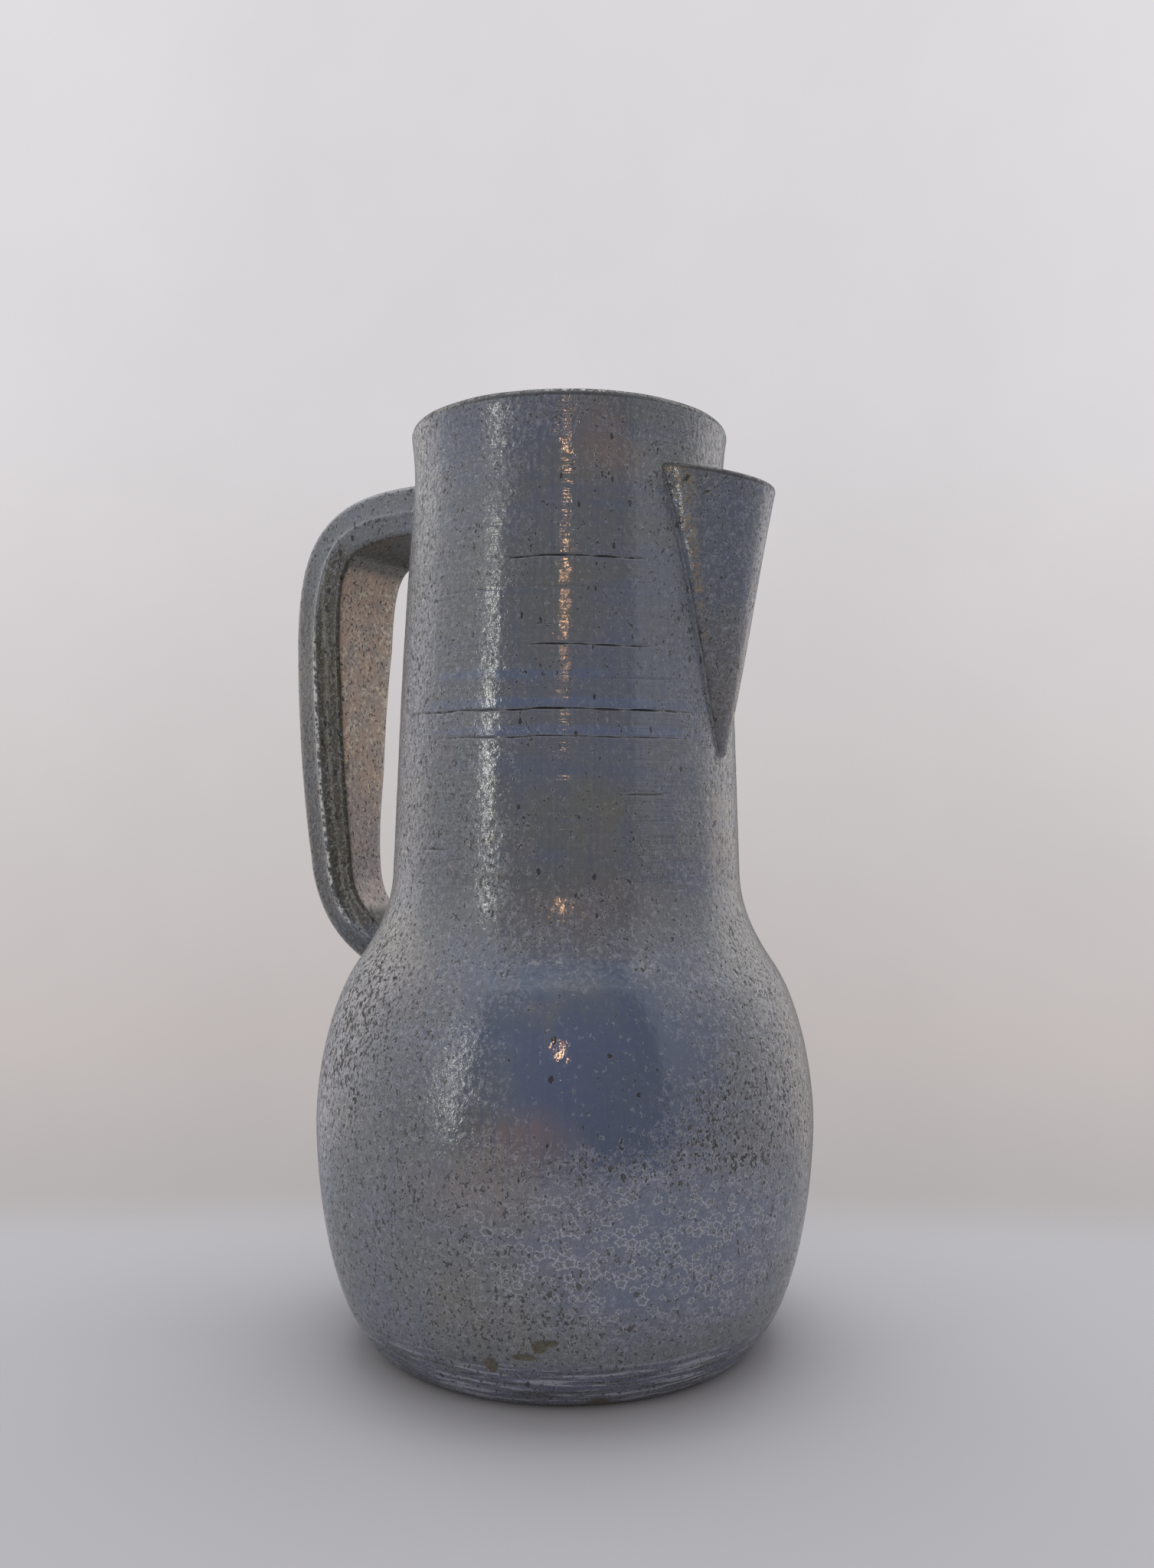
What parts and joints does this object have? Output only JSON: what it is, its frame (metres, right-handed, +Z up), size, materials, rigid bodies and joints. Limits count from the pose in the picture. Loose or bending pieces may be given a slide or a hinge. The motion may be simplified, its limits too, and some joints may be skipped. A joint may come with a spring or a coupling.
{
  "type": "ewer",
  "caption": "Glazed stoneware ewer with a round belly, tall tapered neck, half-cone pouring spout below an unbroken rim and a thick ridged strap handle.",
  "frame": {"origin": "centre of the flat foot, on the surface that the ewer stands on", "axes": "+Z up along the pot's axis, +X towards the spout, -X towards the handle"},
  "size_m": [0.1674, 0.1422, 0.26],
  "materials": {
    "pot_glaze": "satin blue-grey lustre glaze, speckled and pinholed",
    "spout_glaze": "satin dark blue-grey lustre glaze",
    "handle_glaze": "satin grey glaze breaking to brown on the inner face"
  },
  "bodies": {
    "root": {"belly": "pot_glaze", "neck": "pot_glaze", "shoulder_fillet": "pot_glaze", "spout": "spout_glaze", "spout_fillet": "spout_glaze", "handle": "handle_glaze", "handle_upper_root": "handle_glaze", "handle_lower_root": "handle_glaze"}
  },
  "joints": []
}
